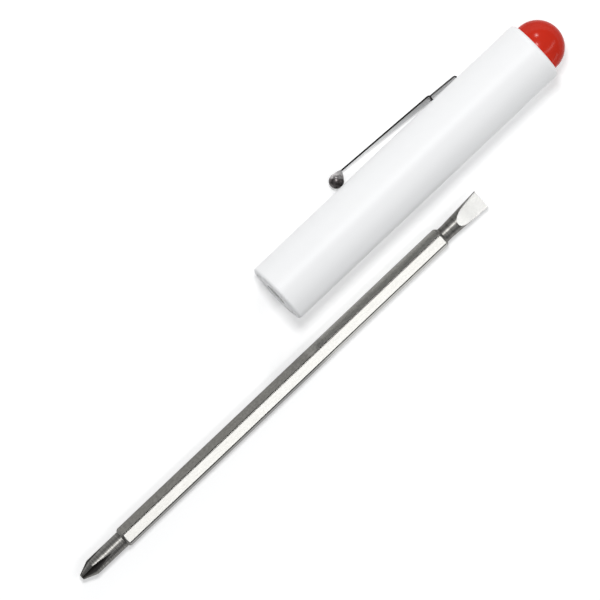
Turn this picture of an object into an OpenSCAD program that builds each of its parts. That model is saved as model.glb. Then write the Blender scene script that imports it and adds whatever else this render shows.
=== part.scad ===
// Pocket screwdriver: a white barrel with a red button top and a pocket clip,
// and its reversible blade lying drawn out beside it.
// Millimetres. The origin is the centre of the barrel's mouth, +X runs along the barrel
// to the red button, +Y is the clip side and +Z is up.

/* [Barrel] */
// Length of the barrel from mouth to top rim
barrel_l = 70.2; // [62:0.1:90]
// Outside diameter of the barrel
barrel_d = 13.2; // [12.4:0.1:16]
// Length of the thicker middle of the barrel, between the insert and the cap
mid_l = 18.2; // [16.5:0.1:24]
// Wall at both ends of the barrel
barrel_wall = 1.2; // [1:0.05:1.5]
// How far the middle of the wall stands in past the ends
mid_step = 0.6; // [0.4:0.05:0.9]
// Radius of the outer edge at the mouth
mouth_round = 0.6; // [0.3:0.05:0.8]
// Radius of the outer edge at the top rim
rim_round = 1.05; // [0.4:0.05:1.1]

/* [Socket insert] */
// Thickness of the floor behind the hexagon socket
socket_floor = 3; // [2:0.25:6]
// Play of the blade in the socket on each side
socket_play = 0.03; // [0.02:0.01:0.1]
// Diameter of the round lead-in at the mouth
lead_d = 5; // [4.8:0.05:5.4]
// Length of the round lead-in
lead_l = 3; // [2:0.25:4]
// Wall of the hub round the socket
hub_wall = 1.2; // [1:0.1:1.5]
// Thickness of the mouth flange
flange_l = 5.5; // [5.2:0.1:8]
// Thickness of the tail flange
tail_l = 1.6; // [1:0.1:3]
// Number of ribs along the hub
rib_count = 6; // [4:2:8]
// Thickness of each rib
rib_t = 1; // [0.8:0.1:1.4]
// Width of the two keys that stop the insert turning
key_w = 1.6; // [1.2:0.1:2.2]
// Height of the keys above the insert
key_h = 0.5; // [0.3:0.05:0.6]
// Chamfer round the insert's mouth edge
insert_edge = 0.2; // [0.1:0.05:0.4]
// Fit of moulded pieces in the barrel on each side
mould_fit = 0.02; // [0.01:0.01:0.05]

/* [Retaining ring] */
// Wire diameter of the ring
wire_d = 0.6; // [0.5:0.05:0.7]
// Bore of the ring at rest, smaller than the blade across its corners
ring_bore_d = 4.3; // [4.1:0.05:4.4]
// Opening of the ring in degrees
ring_gap = 60; // [40:5:90]
// Room round the ring in its groove
ring_room = 0.25; // [0.2:0.05:0.35]

/* [Button cap] */
// Length of the plug inside the barrel
plug_l = 8; // [6:0.25:9]
// Wall of the domed shell
cap_wall = 1.4; // [1:0.1:2]
// How far the plug stands out before the dome starts
dome_rise = 0.4; // [0:0.05:0.8]
// Height of the snap bead round the plug
bead_h = 0.18; // [0.1:0.02:0.24]
// Length of the snap bead along the plug
bead_l = 1.2; // [0.8:0.1:2]

/* [Pocket clip] */
// Thickness of the strip
strip_t = 0.36; // [0.3:0.02:0.5]
// Width of the strip at its shoulders
strip_w = 3; // [2.8:0.1:4]
// Width of the strip at the ball
neck_w = 0.4; // [0.3:0.05:1.2]
// Distance from the cap's plug to the middle of the bend at the hook
hook_back = 7.5; // [5:0.1:8]
// Width of the hook and of the tongue between it and the shoulders
hook_w = 1.6; // [1.4:0.1:1.8]
// Distance from the hook's bend to the outer face of the two ears
ear_x = 5.9; // [5:0.1:8]
// Length of each ear below the strip's outer face
ear_l = 2.6; // [2.2:0.1:3]
// Inside radius of the bend at each ear
ear_bend = 0.15; // [0.1:0.05:0.3]
// Width of the relief notch between the tongue and each ear
relief_w = 0.15; // [0.1:0.05:0.2]
// Depth of the relief notch behind the ear's bend
relief_l = 0.3; // [0.2:0.05:0.5]
// Distance from the hook's bend to the middle of the ball
ball_x = 30.6; // [26:0.1:36]
// Diameter of the ball
ball_d = 3.05; // [2.4:0.05:3.6]
// Distance from the middle of the ball to the end of its drawn-out neck
drop_l = 1.95; // [1.8:0.05:2.6]
// Gap between the ball and the barrel at rest
ball_gap = 0.4; // [0.3:0.05:1]
// Slope of the strip away from the barrel in degrees
arm_slope = 4.2; // [3:0.1:5]
// Gap between the strip and the barrel at the hook
strip_gap = 0.45; // [0.2:0.05:0.8]
// Inside radius of the hook's bend
bend_r = 0.25; // [0.2:0.05:0.4]
// Length of the hook's foot inside the barrel
foot_l = 1.2; // [0.8:0.1:2]
// Play round the hook and the ears in their slots
slot_play = 0.25; // [0.2:0.01:0.35]

/* [Blade] */
// Width of the hexagon across its flats
hex_af = 4; // [3.8:0.05:4.2]
// Length of the hexagon
hex_l = 86.6; // [70:0.5:110]
// How much is turned off each corner of the hexagon
corner_trim = 0.05; // [0.03:0.01:0.1]
// Length of the chamfer at each end of the hexagon
hex_chamfer = 0.6; // [0.4:0.05:0.9]

/* [Flat tip] */
// Length from the hexagon to the end of the flat tip
flat_l = 10.5; // [9:0.25:14]
// Diameter of the neck behind the flat tip
flat_neck_d = 3.15; // [3:0.05:3.4]
// Length over which the neck flares out to the tip
flare_l = 9; // [8.2:0.1:9.4]
// Length of the ground faces
ground_l = 6.6; // [5:0.1:8]
// Width of the tip at its end
tip_w = 4.15; // [3.6:0.05:4.4]
// Thickness of the tip at its end
tip_t = 0.6; // [0.5:0.05:0.8]
// Length of the flat land at the end of each ground face
tip_land = 1.5; // [1:0.1:3.4]
// How much deeper the hollow grind goes than the land
grind_dip = 0.02; // [0.01:0.01:0.05]

/* [Cross tip] */
// Length from the hexagon to the end of the cross tip
cross_l = 10.9; // [9:0.25:14]
// Diameter of the neck behind the cross tip
cross_neck_d = 3.5; // [3.2:0.05:3.6]
// Length of the cone at the point
cone_l = 2.9; // [2.2:0.1:3.6]
// Diameter of the blunt end of the point
point_d = 1.15; // [0.9:0.05:1.5]
// Length of the flutes
flute_l = 7.7; // [6:0.1:8.5]
// Included angle of each flute in degrees
flute_angle = 92; // [86:1:100]
// Distance from the axis to the bottom of each flute at the point
flute_core = 0.42; // [0.3:0.02:0.6]

/* [Layout] */
// Gap between the barrel and the blade lying beside it
blade_gap = 7.2; // [5:0.1:20]
// How far the cross tip lies ahead of the barrel's mouth
blade_ahead = 65.1; // [40:0.1:90]

/* [Hidden] */
$fn = 48;
// Overrun of cuts past the faces that they open
over = 0.05;
insert_l = barrel_l - plug_l - mid_l;
socket_depth = insert_l - socket_floor;
hook_x = barrel_l - plug_l - hook_back;
barrel_r = barrel_d / 2;
bore_r = barrel_r - barrel_wall;
mid_bore_r = bore_r - mid_step;
fit_r = bore_r - mould_fit;
hex_r = hex_af / sqrt(3);
socket_r = (hex_af + 2 * socket_play) / sqrt(3);
hub_r = socket_r + hub_wall;
ring_r = (ring_bore_d + wire_d) / 2;
groove_r = ring_r + wire_d / 2 + ring_room;
groove_l = wire_d + ring_room;
key_r = bore_r + key_h;
dome_x = barrel_l + dome_rise;
plug_x = barrel_l - plug_l;
bead_x = plug_x + plug_l / 2;
bend_y = barrel_r + strip_gap - bend_r;
foot_y = sqrt(pow(mid_bore_r, 2) - pow(hook_w / 2, 2)) - slot_play - strip_t;
ball_r = ball_d / 2;
ball_y = barrel_r + ball_gap + ball_r;
// Turn of the clip below the horizontal that lets its ball meet the surface under the barrel
clip_turn = asin((barrel_r - ball_r) / ball_y);
neck_y = bend_y + (ball_x - drop_l) * tan(arm_slope) + (bend_r + strip_t / 2) / cos(arm_slope);
neck_r = (neck_w + strip_t) / 2;
neck_reach = norm([drop_l, neck_y - ball_y]);
neck_turn = atan2(neck_y - ball_y, drop_l);
drop_angle = asin((ball_r - neck_r) / neck_reach);
arm_l = (ball_x - ball_d / 2) / cos(arm_slope);
shoulder_x = ear_x + strip_t + ear_bend;
ear_w = (strip_w - hook_w) / 2 - relief_w;
ear_z = strip_w / 2 - ear_w;
flat_neck_r = flat_neck_d / 2;
flare_r = norm([tip_w / 2, tip_t / 2]);
grind_run = ground_l - tip_land;
grind_rise = flat_neck_r - tip_t / 2 + grind_dip;
grind_r = (pow(grind_run, 2) + pow(grind_rise, 2)) / (2 * grind_rise);
cross_neck_r = cross_neck_d / 2;
flute_tilt = atan((cross_neck_r - flute_core) / flute_l);
blade_y = -(barrel_r + blade_gap + hex_r);
blade_z = hex_af / 2 - barrel_r;

// Turns a profile drawn as (radius, distance) about the X axis.
module turned() {
    rotate([0, 90, 0]) rotate_extrude() children();
}

// Lays a flat outline across the X axis and carries it along X for a length.
module along_x(length) {
    rotate([90, 0, 90]) linear_extrude(length) children();
}

// Turns a shape drawn with the clip's side as +Y round to where the clip sits.
module at_clip() {
    rotate([-clip_turn, 0, 0]) children();
}

// A bead or groove profile with sloping sides, standing on a radius.
module bead_profile(radius, height, length, middle) {
    polygon([
        [radius - height, middle - length / 2 - height],
        [radius + height, middle - length / 2 + height],
        [radius + height, middle + length / 2 - height],
        [radius - height, middle + length / 2 + height],
    ]);
}

// The outside of the barrel as a half section with both outer edges rounded.
module barrel_outline() {
    translate([0, mouth_round]) square([barrel_r, barrel_l - mouth_round - rim_round]);
    square([barrel_r - mouth_round, barrel_l / 2]);
    translate([0, barrel_l / 2]) square([barrel_r - rim_round, barrel_l / 2]);
    translate([barrel_r - mouth_round, mouth_round]) circle(mouth_round);
    translate([barrel_r - rim_round, barrel_l - rim_round]) circle(rim_round);
}

// The three slots that take the clip's hook and its two ears.
module clip_slots() {
    at_clip() {
        translate([hook_x + bend_r - slot_play, 0, -hook_w / 2 - slot_play])
            cube([strip_t + 2 * slot_play, barrel_r + over, hook_w + 2 * slot_play]);
        for (side = [-1, 1])
            translate([hook_x - ear_x - strip_t / 2, barrel_r / 2 + over, side * (ear_z + ear_w / 2)])
                cube([strip_t + 4 * slot_play, barrel_r, ear_w + 2 * slot_play], center = true);
    }
}

module barrel() {
    color("white") difference() {
        turned() difference() {
            barrel_outline();
            translate([0, -over]) square([bore_r, insert_l + over]);
            translate([0, insert_l - over]) square([mid_bore_r, plug_x - insert_l + 2 * over]);
            translate([0, plug_x]) square([bore_r, plug_l + over]);
            bead_profile(bore_r, bead_h, bead_l, bead_x);
        }
        for (side = [0, 180]) rotate([side, 0, 0])
            translate([-over, -key_w / 2 - mould_fit, 0])
                cube([insert_l + over, key_w + 2 * mould_fit, key_r + mould_fit]);
        clip_slots();
    }
}

// Ribs along the hub, rounded to the bore, with two of them made into keys.
module insert_ribs() {
    intersection() {
        for (i = [0 : rib_count - 1]) rotate([i * 360 / rib_count, 0, 0])
            translate([0, -rib_t / 2, 0]) cube([insert_l, rib_t, fit_r + over]);
        turned() square([fit_r, insert_l]);
    }
    intersection() {
        for (side = [0, 180]) rotate([side, 0, 0])
            translate([0, -key_w / 2, 0]) cube([insert_l, key_w, key_r + over]);
        turned() polygon([
            [0, 0], [key_r - insert_edge, 0], [key_r, insert_edge], [key_r, insert_l], [0, insert_l]]);
    }
}

module socket_insert() {
    color("whitesmoke") difference() {
        union() {
            turned() polygon([
                [0, 0], [fit_r - insert_edge, 0], [fit_r, insert_edge], [fit_r, flange_l],
                [hub_r, flange_l], [hub_r, insert_l - tail_l], [fit_r, insert_l - tail_l],
                [fit_r, insert_l], [0, insert_l]]);
            insert_ribs();
        }
        translate([lead_l, 0, 0]) along_x(socket_depth - lead_l) circle(socket_r, $fn = 6);
        turned() translate([0, -over]) square([lead_d / 2, lead_l + 2 * over]);
        turned() translate([0, lead_l]) square([groove_r, groove_l]);
    }
}

module retaining_ring() {
    color("silver") translate([lead_l + groove_l / 2, 0, 0])
        rotate([0, 90, 0]) rotate([0, 0, ring_gap / 2])
            rotate_extrude(angle = 360 - ring_gap) translate([ring_r, 0]) circle(d = wire_d);
}

// Half section of the cap: a plug that turns into a half ball, cored to an even wall.
module cap_profile() {
    difference() {
        union() {
            translate([0, plug_x]) square([fit_r, dome_x - plug_x]);
            intersection() {
                translate([0, dome_x]) circle(fit_r);
                translate([0, dome_x]) square([fit_r, fit_r]);
            }
            bead_profile(fit_r, bead_h - mould_fit, bead_l, bead_x);
        }
        translate([0, plug_x - over]) square([fit_r - cap_wall, dome_x - plug_x + over]);
        translate([0, dome_x]) circle(fit_r - cap_wall);
        translate([-fit_r, plug_x - over]) square([fit_r, plug_l + 2 * fit_r]);
    }
}

module button_cap() {
    color("red") turned() cap_profile();
}

// The strip laid out flat: a narrow tongue behind the hook, square shoulders and a long taper.
module strip_outline() {
    difference() {
        union() {
            translate([-shoulder_x - relief_l - over, -hook_w / 2])
                square([shoulder_x + relief_l + over, hook_w]);
            polygon([
                [-shoulder_x, -strip_w / 2], [-shoulder_x, strip_w / 2],
                [-arm_l, neck_w / 2], [-arm_l, -neck_w / 2]]);
        }
        for (side = [-1, 1])
            translate([-shoulder_x - relief_l, side * (hook_w + relief_w) / 2 - relief_w / 2])
                square([relief_l + over, relief_w]);
    }
}

// One ear, bent down from a shoulder to stand in its slot.
module clip_ear() {
    translate([-ear_x - strip_t - ear_bend, bend_r - ear_bend, ear_z]) {
        rotate_extrude(angle = 90) translate([ear_bend, 0]) square([strip_t, ear_w]);
        translate([ear_bend, strip_t + ear_bend - ear_l, 0])
            cube([strip_t, ear_l - strip_t - ear_bend, ear_w]);
    }
}

// The sloping strip with its two ears, drawn from the middle of the hook's bend.
module clip_arm() {
    rotate([0, 0, -arm_slope]) {
        translate([0, bend_r + strip_t, 0]) rotate([90, 0, 0]) linear_extrude(strip_t) strip_outline();
        clip_ear();
        mirror([0, 0, 1]) clip_ear();
    }
}

// The hook: a bend, a leg through the wall and a foot behind it.
module clip_hook() {
    rotate_extrude(angle = 90 - arm_slope) translate([bend_r, -hook_w / 2]) square([strip_t, hook_w]);
    translate([bend_r, foot_y - bend_y, -hook_w / 2]) cube([strip_t, bend_y - foot_y, hook_w]);
    translate([bend_r, foot_y - bend_y, -hook_w / 2]) cube([strip_t + foot_l, strip_t, hook_w]);
}

// Half section of the ball drawn out into a drop.
module drop_profile() {
    intersection() {
        circle(ball_r);
        translate([0, -ball_r]) square([ball_r, ball_d]);
    }
    polygon([
        [0, 0], [ball_r * cos(drop_angle), ball_r * sin(drop_angle)],
        [neck_r * cos(drop_angle), neck_reach + neck_r * sin(drop_angle)],
        [0, neck_reach + neck_r * sin(drop_angle)]]);
}

// The ball, whose drop runs into the end of the strip.
module clip_ball() {
    translate([hook_x - ball_x, ball_y, 0]) rotate([0, 0, neck_turn]) turned() drop_profile();
}

module pocket_clip() {
    color("gray") at_clip() {
        translate([hook_x, bend_y, 0]) {
            clip_arm();
            clip_hook();
        }
        clip_ball();
    }
}

// The hexagon bar with its edges eased and a chamfer turned on each end.
module hex_bar() {
    intersection() {
        along_x(hex_l) circle(hex_r, $fn = 6);
        turned() polygon([
            [0, 0], [hex_r - corner_trim - hex_chamfer, 0], [hex_r - corner_trim, hex_chamfer],
            [hex_r - corner_trim, hex_l - hex_chamfer], [hex_r - corner_trim - hex_chamfer, hex_l],
            [0, hex_l]]);
    }
}

// The flat tip: a neck that flares to the tip, hollow ground on both faces down to a flat land.
module flat_tip() {
    difference() {
        turned() polygon([
            [0, -hex_chamfer], [flat_neck_r, -hex_chamfer], [flat_neck_r, flat_l - flare_l],
            [flare_r, flat_l], [0, flat_l]]);
        for (side = [0, 180]) rotate([side, 0, 0]) {
            translate([flat_l - tip_land, 0, tip_t / 2 - grind_dip + grind_r]) rotate([90, 0, 0])
                cylinder(r = grind_r, h = 2 * tip_w, center = true, $fn = 4 * $fn);
            translate([flat_l - tip_land, -tip_w, tip_t / 2]) cube([tip_land + over, 2 * tip_w, tip_w]);
        }
    }
}

// One flute cutter: a long V whose bottom climbs from the core at the point to the neck's surface.
module flute() {
    translate([0, 0, flute_core]) rotate([0, -flute_tilt, 0]) translate([-cone_l, 0, 0])
        along_x(flute_l + 2 * cone_l)
            polygon([
                [0, 0], [cross_neck_d * tan(flute_angle / 2), cross_neck_d],
                [-cross_neck_d * tan(flute_angle / 2), cross_neck_d]]);
}

// The cross tip: a turned neck and cone with four flutes.
module cross_tip() {
    difference() {
        turned() polygon([
            [0, 0], [point_d / 2, 0], [cross_neck_r, cone_l],
            [cross_neck_r, cross_l + hex_chamfer], [0, cross_l + hex_chamfer]]);
        for (turn = [0 : 90 : 270]) rotate([turn, 0, 0]) flute();
    }
}

module reversible_blade() {
    color("lightgray") translate([-blade_ahead, blade_y, blade_z]) {
        cross_tip();
        translate([cross_l, 0, 0]) hex_bar();
        translate([cross_l + hex_l, 0, 0]) flat_tip();
    }
}

barrel();
socket_insert();
retaining_ring();
button_cap();
pocket_clip();
reversible_blade();
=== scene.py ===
"""Looks of the pocket screwdriver: materials, a finely edged blade, the stage, light and camera."""

import math

import bpy
import numpy as np
from mathutils import Matrix, Vector


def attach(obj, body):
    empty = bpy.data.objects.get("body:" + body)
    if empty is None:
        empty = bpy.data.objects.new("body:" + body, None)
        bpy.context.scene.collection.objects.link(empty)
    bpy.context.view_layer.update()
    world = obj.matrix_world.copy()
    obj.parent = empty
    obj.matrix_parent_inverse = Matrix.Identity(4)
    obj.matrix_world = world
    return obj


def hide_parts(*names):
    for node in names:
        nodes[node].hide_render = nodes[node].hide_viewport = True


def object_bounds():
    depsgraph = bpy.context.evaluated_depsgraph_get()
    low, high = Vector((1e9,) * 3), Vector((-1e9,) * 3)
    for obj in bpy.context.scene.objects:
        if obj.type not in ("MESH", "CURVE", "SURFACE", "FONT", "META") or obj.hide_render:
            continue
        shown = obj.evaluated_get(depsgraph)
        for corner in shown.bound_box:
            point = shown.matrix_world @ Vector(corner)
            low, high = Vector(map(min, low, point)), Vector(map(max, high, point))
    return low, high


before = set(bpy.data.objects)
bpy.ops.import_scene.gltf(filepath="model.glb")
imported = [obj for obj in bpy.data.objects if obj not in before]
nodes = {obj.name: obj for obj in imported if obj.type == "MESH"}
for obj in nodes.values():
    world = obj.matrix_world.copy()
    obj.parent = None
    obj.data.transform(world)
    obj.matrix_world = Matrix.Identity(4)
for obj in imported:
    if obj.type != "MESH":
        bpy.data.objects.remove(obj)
cad_box = [list(corner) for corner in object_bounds()]
MM = 0.001

# Sizes repeated from the part's source, in millimetres.
BLADE_AHEAD, BLADE_Y, BLADE_Z = 65.1, -16.1094, -4.6
HEX_AF, HEX_L, HEX_CHAMFER, CORNER_TRIM = 4.0, 86.6, 0.6, 0.052
FLAT_L, FLAT_NECK_R, FLARE_L, GROUND_L = 10.5, 1.575, 9.0, 6.6
TIP_W, TIP_T, TIP_LAND = 4.15, 0.6, 1.5
CROSS_L, CROSS_NECK_R, CONE_L, POINT_R = 10.9, 1.75, 2.9, 0.575
FLUTE_L, FLUTE_HALF, FLUTE_CORE = 7.7, math.radians(46), 0.42
HEX_END = CROSS_L + HEX_L
BLADE_L = HEX_END + FLAT_L
GRIND_RUN, GRIND_RISE = GROUND_L - TIP_LAND, FLAT_NECK_R - TIP_T / 2
GRIND_R = (GRIND_RUN ** 2 + GRIND_RISE ** 2) / (2 * GRIND_RISE)
BARREL_R, BALL_R, CLIP_JAW = 6.6, 1.525, 0.4
CLIP_TURN = math.asin((BARREL_R - BALL_R) / (BARREL_R + CLIP_JAW + BALL_R))
BALL_X, EAR_X = 24.1, 48.8

# Values of the looks alone, in millimetres or as directions.
BALL_HIGHLIGHT_SIDE = (0.686, 0.709, -0.167)  # the ball's side that is painted bright, a painted highlight where the spark lamp's glint falls
SIDE_PAINT_FROM, SIDE_PAINT_TO = -3.5, 1.5  # along the bar, from painted shade on the sides ahead of the barrel to painted light beside it
CORNER_R, CORNER_SOFT = 2.243, 0.01  # radius at which a flat turns into its corner's painted dark line, a painted shade along the edge
CUT_SOFT, GROUND_SOFT = 0.05, 0.02  # depths over which the masks of flutes and ground faces come in
END_EASE = 0.02  # small rounding of the ends and shoulders
KNOT_INSIDE = 0.003  # radians from a ground face's edge to the next point inside
FINE_RUN = 0.6  # length of close rings where a ground face starts
HEX_SOFT = 0.2  # length over which the bar's finish turns into a neck's
BALL_BLEND, TONGUE_BLEND = (1.6, 2.2), (0.1, 0.4)  # from the ball's middle and from the ears
SHARP_ANGLE = math.radians(24)
FLUTE_GUARD, SINE_GUARD = 0.01, 1e-3  # keep two divisors away from zero
AROUND = 288  # points on a ring


# Small helpers for node materials.

class Graph:
    """One node material being built, with its Principled shader."""

    def __init__(self, name):
        self.material = bpy.data.materials.new(name)
        self.material.use_nodes = True
        self.tree = self.material.node_tree
        self.shader = self.tree.nodes["Principled BSDF"]
        self.coords = self.node("ShaderNodeTexCoord").outputs["Object"]

    def node(self, kind, **settings):
        made = self.tree.nodes.new(kind)
        for key, value in settings.items():
            setattr(made, key, value)
        return made

    def link(self, out, socket):
        self.tree.links.new(out, socket)

    def set(self, **values):
        """Set constant inputs of the shader, named with _ for a space."""
        for key, value in values.items():
            self.shader.inputs[key.replace("_", " ")].default_value = value

    def stretched(self, scale):
        """The object's coordinates scaled along each axis, in waves per metre."""
        mapping = self.node("ShaderNodeMapping")
        mapping.inputs["Scale"].default_value = scale
        self.link(self.coords, mapping.inputs["Vector"])
        return mapping.outputs["Vector"]

    def noise(self, scale, detail=3.0, roughness=0.5):
        made = self.node("ShaderNodeTexNoise")
        made.inputs["Scale"].default_value = 1.0
        made.inputs["Detail"].default_value = detail
        made.inputs["Roughness"].default_value = roughness
        self.link(self.stretched(scale), made.inputs["Vector"])
        return made.outputs["Fac"]

    def facing(self, direction):
        """How far the surface faces a direction of the object, from -1 to 1."""
        made = self.node("ShaderNodeVectorMath", operation="DOT_PRODUCT")
        self.link(self.node("ShaderNodeTexCoord").outputs["Normal"], made.inputs[0])
        made.inputs[1].default_value = direction
        return made.outputs["Value"]

    def ramp(self, value, low, high, to_low, to_high):
        """The value's range from low to high carried over to another range, and held beyond it."""
        made = self.node("ShaderNodeMapRange", clamp=True)
        ends = {"From Min": low, "From Max": high, "To Min": to_low, "To Max": to_high}
        for key, number in ends.items():
            made.inputs[key].default_value = number
        self.link(value, made.inputs["Value"])
        return made.outputs["Result"]

    def mix(self, fac, *colours):
        """A blend of two colours, each of them a constant or a socket."""
        made = self.node("ShaderNodeMix", data_type="RGBA")
        self.link(fac, made.inputs["Factor"])
        ends = [socket for socket in made.inputs if socket.type == "RGBA"]
        for socket, colour in zip(ends, colours):
            if isinstance(colour, bpy.types.NodeSocket):
                self.link(colour, socket)
            else:
                socket.default_value = (*colour, 1.0)
        return next(socket for socket in made.outputs if socket.type == "RGBA")

    def maths(self, operation, *values):
        """A Math node on values that are each a constant or a socket."""
        made = self.node("ShaderNodeMath", operation=operation)
        for socket, value in zip(made.inputs, values):
            if isinstance(value, bpy.types.NodeSocket):
                self.link(value, socket)
            else:
                socket.default_value = value
        return made.outputs[0]

    def bump(self, height, strength, distance):
        made = self.node("ShaderNodeBump")
        made.inputs["Strength"].default_value = strength
        made.inputs["Distance"].default_value = distance
        self.link(height, made.inputs["Height"])
        return made.outputs["Normal"]

    def along(self):
        """The distance along the part's X axis."""
        split = self.node("ShaderNodeSeparateXYZ")
        self.link(self.coords, split.inputs[0])
        return split.outputs["X"]

    def mask(self, name):
        """A mask kept on the mesh's points."""
        return self.node("ShaderNodeAttribute", attribute_name=name).outputs["Fac"]

    def give(self, **sockets):
        """Link inputs of the shader, named with _ for a space."""
        for key, out in sockets.items():
            self.link(out, self.shader.inputs[key.replace("_", " ")])


def even(waves):
    """The same scale along each axis."""
    return (waves, waves, waves)


def moulded_plastic(name, light, dark, rough, gloss, rim_gloss, depth=0):
    """Moulded plastic: faint tone drift, fine scuffs along it, a soft orange peel and its own rim gloss.

    A depth lets light pass into it that far.
    """
    g = Graph(name)
    drift = g.ramp(g.noise(even(60), 3), 0.35, 0.65, 0, 1)
    scuffs = g.noise((120, 2600, 2600), 3, 0.6)
    g.give(Base_Color=g.mix(drift, dark, light))
    g.give(Roughness=g.ramp(scuffs, 0.35, 0.75, rough * 0.97, rough * 1.06))
    g.give(Normal=g.bump(g.noise(even(700), 1), 0.04, 0.01 * MM))
    facing = g.node("ShaderNodeLayerWeight").outputs["Facing"]
    g.give(Specular_IOR_Level=g.ramp(facing, 0.15, 0.5, gloss, rim_gloss))
    if depth:
        g.set(Subsurface_Weight=0.8, Subsurface_Radius=(1, 1, 1), Subsurface_Scale=depth)
    return g.material


def clip_steel():
    """Bright plated strip with fine lines along it, duller sheared edges painted near black as a painted
    dark reflection, and a formed ball painted dark as a painted dark reflection with a painted highlight
    on its spark side.
    """
    g = Graph("clip_steel")
    lines = g.noise((250, 9000, 9000), 3, 0.6)
    blotch = g.ramp(g.noise(even(1400), 4, 0.6), 0.38, 0.66, 0, 1)
    across = g.facing((0, math.sin(CLIP_TURN), math.cos(CLIP_TURN)))
    sheared = g.ramp(g.maths("ABSOLUTE", across), 0.7, 0.85, 0, 1)
    x = g.along()
    on_ball = g.ramp(x, *((BALL_X + past) * MM for past in BALL_BLEND), 1, 0)
    on_tongue = g.ramp(x, *((EAR_X + past) * MM for past in TONGUE_BLEND), 0, 1)
    # Sheared edges are duller steel, and painted near black beyond that as a painted dark reflection,
    # less dark past the ears.
    rim = g.mix(on_tongue, (0.06, 0.056, 0.056), (0.2, 0.19, 0.19))
    strip = g.mix(sheared, (0.66, 0.66, 0.665), rim)
    # The ball painted dark with random blotches: a painted dark reflection on plated metal like the
    # strip's.
    ball_painted_dark = g.mix(blotch, (0.04, 0.035, 0.035), (0.15, 0.135, 0.135))
    bright = g.mix(blotch, (0.2, 0.19, 0.19), (0.6, 0.58, 0.58))
    # The side of the ball facing the spark lamp's glint is painted bright: a painted highlight.
    ball = g.mix(g.ramp(g.facing(BALL_HIGHLIGHT_SIDE), 0.2, 0.45, 0, 1), ball_painted_dark, bright)
    g.give(Base_Color=g.mix(on_ball, strip, ball))
    g.give(Roughness=g.maths("MULTIPLY_ADD", on_ball, 0.13, g.ramp(lines, 0.3, 0.7, 0.16, 0.3)))
    g.give(Normal=g.bump(g.maths("MULTIPLY_ADD", blotch, on_ball, lines), 0.2, 0.012 * MM))
    g.set(Metallic=1.0)
    return g.material


def wire_steel():
    """Drawn spring wire."""
    g = Graph("spring_wire")
    pits = g.noise(even(5000), 3)
    g.give(Base_Color=g.mix(pits, (0.42, 0.42, 0.43), (0.56, 0.56, 0.57)))
    g.give(Roughness=g.ramp(pits, 0.3, 0.7, 0.22, 0.34))
    g.give(Normal=g.bump(pits, 0.1, 0.01 * MM))
    g.set(Metallic=1.0)
    return g.material


def blade_steel():
    """Drawn bar: polished top and bottom, sides painted darker ahead of the barrel and lighter beside it
    to even out their reflections, a painted shade and painted light, and corners painted dark as a
    painted shade line.

    The necks have turning rings, the flutes are dark, and the ground faces are pale.
    """
    g = Graph("blade_steel")
    x = g.along()
    hex_start = (CROSS_L - BLADE_AHEAD + HEX_CHAMFER) * MM
    hex_stop = (HEX_END - BLADE_AHEAD - HEX_CHAMFER) * MM
    past_start = g.ramp(x, hex_start - HEX_SOFT * MM, hex_start, 0, 1)
    before_stop = g.ramp(x, hex_stop, hex_stop + HEX_SOFT * MM, 1, 0)
    on_hex = g.maths("MULTIPLY", past_start, before_stop)
    cut, ground, edge = g.mask("cut"), g.mask("ground"), g.mask("edge")
    grain = g.noise((400, 7000, 7000), 4, 0.65)
    speckle = g.ramp(g.noise((2400, 3600, 3600), 4, 0.7), 0.35, 0.65, 0, 1)
    rings = g.noise((5600, 60, 60), 4, 0.7)
    lines = g.noise((7500, 300, 300), 3, 0.6)
    polished = g.mix(speckle, (0.24, 0.237, 0.227), (0.26, 0.257, 0.247))
    # Sides painted darker ahead of the barrel, a painted shade against the bright floor they reflect,
    # and lighter beside it, painted light against the barrel's shaded underside.
    sides_painted_dark = g.mix(speckle, (0.13, 0.127, 0.117), (0.23, 0.225, 0.21))
    sides_painted_light = g.mix(speckle, (0.42, 0.412, 0.387), (0.64, 0.632, 0.594))
    beside_barrel_paint = g.ramp(x, SIDE_PAINT_FROM * MM, SIDE_PAINT_TO * MM, 0, 1)
    sides = g.mix(beside_barrel_paint, sides_painted_dark, sides_painted_light)
    on_side = g.ramp(g.maths("ABSOLUTE", g.facing((0, 0, 1))), 0.7, 0.8, 1, 0)
    # Corners painted near black: a painted shade line along each edge.
    bar = g.mix(edge, g.mix(on_side, polished, sides), (0.03, 0.029, 0.028))
    neck = g.mix(g.ramp(rings, 0.35, 0.65, 0, 1), (0.11, 0.107, 0.1), (0.26, 0.255, 0.243))
    # Flutes darker than the rest of the blade.
    dark_flutes = g.mix(grain, (0.035, 0.032, 0.03), (0.13, 0.125, 0.12))
    faced = g.mix(lines, (0.42, 0.417, 0.406), (0.47, 0.467, 0.455))
    g.give(Base_Color=g.mix(ground, g.mix(cut, g.mix(on_hex, neck, bar), dark_flutes), faced))
    turned_rough = g.ramp(grain, 0.3, 0.7, 0.38, 0.41)
    hex_rough = g.maths("MULTIPLY_ADD", on_hex, -0.27, turned_rough)
    g.give(Roughness=g.maths("MULTIPLY_ADD", ground, -0.17, hex_rough))
    smooth = g.maths("MAXIMUM", on_hex, ground)
    turned = g.maths("MULTIPLY", rings, g.maths("SUBTRACT", 1.0, smooth))
    g.give(Normal=g.bump(g.maths("MULTIPLY_ADD", grain, 0.005, turned), 0.5, 0.02 * MM))
    g.set(Metallic=1.0, Specular_Tint=(0.75, 0.75, 0.75, 1))
    return g.material


# The blade: one mesh of rings about its axis whose lines of points follow every edge.

def eased_min(a, b, ease=0.03):
    """The smaller of a and b, rounded where the two meet."""
    near = np.clip(ease - np.abs(a - b), 0, None) / ease
    return np.minimum(a, b) - near * near * ease / 4


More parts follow.
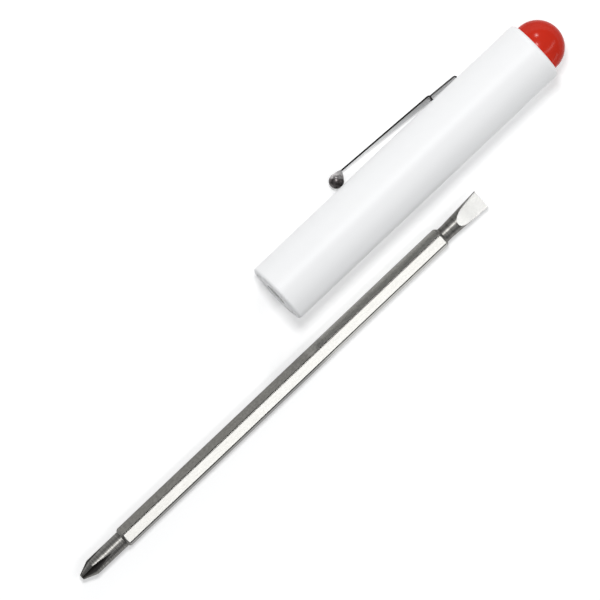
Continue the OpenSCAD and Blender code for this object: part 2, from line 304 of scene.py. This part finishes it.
def turned_radius(x):
    """Radius of the necks before the flutes and the ground faces are cut."""
    if x < CROSS_L + HEX_CHAMFER:
        return min(CROSS_NECK_R, POINT_R + (CROSS_NECK_R - POINT_R) * x / CONE_L)
    flare = math.hypot(TIP_W / 2, TIP_T / 2)
    return FLAT_NECK_R + max(0, x - BLADE_L + FLARE_L) * (flare - FLAT_NECK_R) / FLARE_L


def flute_bottom(x):
    """Distance from the axis to a flute's bottom."""
    return FLUTE_CORE + x * (CROSS_NECK_R - FLUTE_CORE) / FLUTE_L


def ground_half(x):
    """Half thickness between the ground faces."""
    run = x - (BLADE_L - TIP_LAND)
    if run > 0:
        return TIP_T / 2
    return TIP_T / 2 + GRIND_R - math.sqrt(GRIND_R ** 2 - run ** 2)


def ground_start():
    """Where the ground faces first meet the neck."""
    tries = np.linspace(BLADE_L - GROUND_L - 1, BLADE_L, 2000)
    return next(x for x in tries if ground_half(x) < turned_radius(x))


GROUND_START = ground_start()


def ring_angles(x, even_turn):
    """Angles of one ring's points, of which some lie on the edges of the flutes or ground faces."""
    quarter, eighth = math.pi / 2, math.pi / 4
    if x < CROSS_L:
        if x < FLUTE_L:
            depth = min(1, flute_bottom(x) / turned_radius(x))
            edge = FLUTE_HALF - math.asin(depth * math.sin(FLUTE_HALF))
        else:
            edge = (x - FLUTE_L) / (CROSS_L - FLUTE_L) * eighth / 2
        off = (even_turn + eighth) % quarter - eighth
        shifted = np.interp(np.abs(off), [0, eighth / 2, eighth], [0, edge, eighth])
        return even_turn - off + np.sign(off) * shifted
    if x > HEX_END:
        if x < GROUND_START:
            edge = eighth + (x - HEX_END) / (GROUND_START - HEX_END) * eighth
        else:
            edge = math.asin(min(1, ground_half(x) / turned_radius(x)))
        off = (even_turn + quarter) % math.pi - quarter
        step = even_turn[1] - even_turn[0]
        inside = edge + min(KNOT_INSIDE, (quarter - edge) * step / eighth)
        shifted = np.interp(
            np.abs(off), [0, eighth, eighth + step, quarter], [0, edge, inside, quarter])
        return even_turn - off + np.sign(off) * shifted
    return even_turn


def blade_ring(x, even_turn):
    """Angles and radii of one ring, and its masks of flutes, ground faces and corners."""
    turn = ring_angles(x, even_turn)
    cut, ground, edge = np.zeros((3, len(turn)))
    from_end = min(x - CROSS_L, HEX_END - x)
    if from_end >= 0:
        cone = HEX_AF / math.sqrt(3) - CORNER_TRIM - HEX_CHAMFER + min(from_end, HEX_CHAMFER)
        off = np.abs(turn % (math.pi / 3) - math.pi / 6)
        radius = eased_min(HEX_AF / 2 / np.cos(off), np.full_like(turn, cone))
        if from_end >= HEX_CHAMFER:
            # Corner mask for the painted shade line along each edge.
            edge = np.clip((radius - CORNER_R) / CORNER_SOFT, 0, 1)
        return turn, radius, cut, ground, edge
    envelope = np.full_like(turn, turned_radius(x))
    if x < CROSS_L:
        off = np.abs((turn + math.pi / 4) % (math.pi / 2) - math.pi / 4)
        off = np.minimum(off, FLUTE_HALF - FLUTE_GUARD)
        wall = flute_bottom(x) * math.sin(FLUTE_HALF) / np.sin(FLUTE_HALF - off)
        cut = np.clip((envelope - wall) / CUT_SOFT, 0, 1)
        return turn, eased_min(envelope, wall), cut, ground, edge
    face = envelope * 2
    if x > GROUND_START - 1:
        face = ground_half(x) / np.maximum(np.abs(np.sin(turn)), SINE_GUARD)
    ground = np.clip((envelope - face) / GROUND_SOFT, 0, 1)
    return turn, eased_min(envelope, face), cut, ground, edge


def blade_rings():
    """Distances from the cross tip at which the blade's rings lie, closer where the shape turns.

    Each stop has the number of rings from it to the next one.
    """
    ease = END_EASE
    cross_shoulder, flat_shoulder = CROSS_L + HEX_CHAMFER, HEX_END - HEX_CHAMFER
    ground_top = GROUND_START + FINE_RUN
    stops = [
        (0, 1), (ease, 40), (CONE_L - ease, 2), (CONE_L + ease, 60), (CROSS_L - ease, 1),
        (CROSS_L, 40), (cross_shoulder - ease, 2), (cross_shoulder + ease, 24),
        (flat_shoulder - ease, 2), (flat_shoulder + ease, 40), (HEX_END, 1), (HEX_END + ease, 24),
        (GROUND_START - ease, 24), (ground_top, 60), (BLADE_L - ease, 1), (BLADE_L, 1),
    ]
    runs = [(start, stop, count) for (start, count), (stop, _) in zip(stops, stops[1:])]
    return np.concatenate([np.linspace(a, b, n, endpoint=False) for a, b, n in runs] + [[BLADE_L]])


def blade_mesh():
    """The blade's mesh, with its masks as attributes of its points."""
    even_turn = np.linspace(0, 2 * math.pi, AROUND, endpoint=False)
    rings = blade_rings()
    points, masks = [], []
    for i, x in enumerate(rings):
        turn, radius, *ring_masks = blade_ring(float(x), even_turn)
        if i in (0, len(rings) - 1):
            radius = radius - END_EASE
        points.append(np.stack([
            np.full(AROUND, x - BLADE_AHEAD),
            BLADE_Y + radius * np.cos(turn),
            BLADE_Z + radius * np.sin(turn)], 1))
        masks.append(np.array(ring_masks))
    ends = [[-BLADE_AHEAD, BLADE_Y, BLADE_Z], [BLADE_L - BLADE_AHEAD, BLADE_Y, BLADE_Z]]
    points = np.concatenate(points + [ends]) * MM
    start, end, last = len(points) - 2, len(points) - 1, (len(rings) - 1) * AROUND
    faces = []
    for j in range(AROUND):
        k = (j + 1) % AROUND
        faces += [(i + j, i + k, i + AROUND + k, i + AROUND + j) for i in range(0, last, AROUND)]
        faces += [(start, k, j), (end, last + j, last + k)]
    mesh = bpy.data.meshes.new("blade_bar")
    mesh.from_pydata(points.tolist(), [], faces)
    masks = np.concatenate(masks + [np.zeros((3, 2))], 1)
    for name, mask in zip(("cut", "ground", "edge"), masks):
        mesh.attributes.new(name, "FLOAT", "POINT").data.foreach_set("value", mask)
    mesh.polygons.foreach_set("use_smooth", [True] * len(mesh.polygons))
    mesh.set_sharp_from_angle(angle=SHARP_ANGLE)
    mesh.update()
    return mesh


blade = bpy.data.objects.new("blade_bar", blade_mesh())
bpy.context.scene.collection.objects.link(blade)
blade.data.materials.append(blade_steel())
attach(blade, "blade")
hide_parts("reversible_blade")

WHITE = moulded_plastic(
    "white_plastic", light=(0.915, 0.917, 0.92), dark=(0.905, 0.907, 0.912),
    rough=0.4, gloss=0.2, rim_gloss=0.2)
INSERT = moulded_plastic(
    "insert_plastic", light=(0.93, 0.932, 0.935), dark=(0.915, 0.917, 0.92),
    rough=0.4, gloss=0.4, rim_gloss=0.4, depth=3 * MM)
RED = moulded_plastic(
    "red_plastic", light=(0.59, 0.027, 0.01), dark=(0.52, 0.02, 0.008),
    rough=0.19, gloss=0.23, rim_gloss=0.03)
for name, material in (
        ("barrel", WHITE), ("socket_insert", INSERT), ("button_cap", RED),
        ("retaining_ring", wire_steel()), ("pocket_clip", clip_steel())):
    nodes[name].data.materials.clear()
    nodes[name].data.materials.append(material)


# The stage: a white floor that keeps the object's shadow.

FLOOR_LIFT = 0.33  # glow that whitens the floor where it is seen, also in reflections
FLOOR_TONE = 0.86
FLOOR_HALF = 1.5


def floor():
    """A flat sheet under the part, on the stage."""
    low = cad_box[0][2]
    corners = [(x * FLOOR_HALF, y * FLOOR_HALF, low) for x, y in ((-1, -1), (1, -1), (1, 1), (-1, 1))]
    mesh = bpy.data.meshes.new("floor")
    mesh.from_pydata(corners, [], [(0, 1, 2, 3)])
    made = bpy.data.objects.new("floor", mesh)
    bpy.context.scene.collection.objects.link(made)
    material = bpy.data.materials.new("floor_white")
    material.use_nodes = True
    tree = material.node_tree
    tree.nodes.clear()
    out = tree.nodes.new("ShaderNodeOutputMaterial")
    diffuse = tree.nodes.new("ShaderNodeBsdfDiffuse")
    diffuse.inputs["Color"].default_value = (FLOOR_TONE, FLOOR_TONE, FLOOR_TONE, 1)
    glow = tree.nodes.new("ShaderNodeEmission")
    path = tree.nodes.new("ShaderNodeLightPath")
    seen = path.outputs["Is Camera Ray"]
    for ray in ("Is Glossy Ray", "Is Transmission Ray"):
        either = tree.nodes.new("ShaderNodeMath")
        either.operation = "MAXIMUM"
        tree.links.new(seen, either.inputs[0])
        tree.links.new(path.outputs[ray], either.inputs[1])
        seen = either.outputs[0]
    lift = tree.nodes.new("ShaderNodeMath")
    lift.operation = "MULTIPLY"
    lift.inputs[1].default_value = FLOOR_LIFT
    tree.links.new(seen, lift.inputs[0])
    tree.links.new(lift.outputs[0], glow.inputs["Strength"])
    both = tree.nodes.new("ShaderNodeAddShader")
    tree.links.new(diffuse.outputs[0], both.inputs[0])
    tree.links.new(glow.outputs[0], both.inputs[1])
    tree.links.new(both.outputs[0], out.inputs["Surface"])
    mesh.materials.append(material)


floor()


# Light and camera.

def softbox(name, direction, along, distance, size, share):
    """A rectangular lamp aimed at the part, with its share of the floor's light."""
    aim = Vector(direction).normalized()
    long_side = (Vector(along) - aim * aim.dot(Vector(along))).normalized()
    light = bpy.data.lights.new(name, "AREA")
    light.shape = "RECTANGLE"
    light.size, light.size_y = size
    light.energy = share * (math.pi * distance) ** 2 / aim.z
    made = bpy.data.objects.new(name, light)
    made.matrix_world = Matrix.Translation(aim * distance) @ Matrix(
        (long_side, aim.cross(long_side), aim)).transposed().to_4x4()
    made.visible_camera = False
    bpy.context.scene.collection.objects.link(made)


softbox(
    "key_box", direction=(0.08, 0.46, 0.88), along=(1, 0, 0),
    distance=0.8, size=(0.14, 0.14), share=0.44)
softbox(
    "top_box", direction=(0.292, -0.205, 0.45), along=(0.866, 0, -0.5),
    distance=0.575, size=(0.96, 0.05), share=0.168)
softbox(
    "side_box", direction=(0.08, -0.98, 0.17), along=(1, 0, 0),
    distance=0.7, size=(0.8, 0.06), share=0.022)
softbox(
    "spark_box", direction=(0.495, 0.757, 0.425), along=(1, 0, 0),
    distance=0.9, size=(0.12, 0.12), share=0.08)

WORLD_TINT, WORLD_STRENGTH = (0.96, 0.98, 1, 1), 0.26
world = bpy.data.worlds.new("studio")
world.use_nodes = True
sky = world.node_tree.nodes["Background"]
sky.inputs["Color"].default_value = WORLD_TINT
sky.inputs["Strength"].default_value = WORLD_STRENGTH
bpy.context.scene.world = world

TILT = math.radians(43.45)
TO_CAMERA = Vector((-0.078, 0.299, 0.951)).normalized()
ALONG = (Vector((1, 0, 0)) - TO_CAMERA * TO_CAMERA.x).normalized()
ACROSS = TO_CAMERA.cross(ALONG)
RIGHT = math.cos(TILT) * ALONG - math.sin(TILT) * ACROSS
UP = math.sin(TILT) * ALONG + math.cos(TILT) * ACROSS
FRAME_WIDTH = 117.2 * MM
TARGET_ALONG, TARGET_ACROSS = 2.66 * MM, -3.94 * MM
LENS, SENSOR = 1200.0, 36.0
FAR_CLIP = 50.0
camera = bpy.data.objects.new("camera", bpy.data.cameras.new("camera"))
camera.data.lens, camera.data.sensor_width = LENS, SENSOR
camera.data.clip_end = FAR_CLIP
target = TARGET_ALONG * ALONG + TARGET_ACROSS * ACROSS
stand = target + TO_CAMERA * (FRAME_WIDTH * LENS / SENSOR)
camera.matrix_world = Matrix.Translation(stand) @ Matrix(
    (RIGHT, UP, TO_CAMERA)).transposed().to_4x4()
bpy.context.scene.collection.objects.link(camera)
bpy.context.scene.camera = camera
bpy.context.scene.view_settings.view_transform = "Standard"
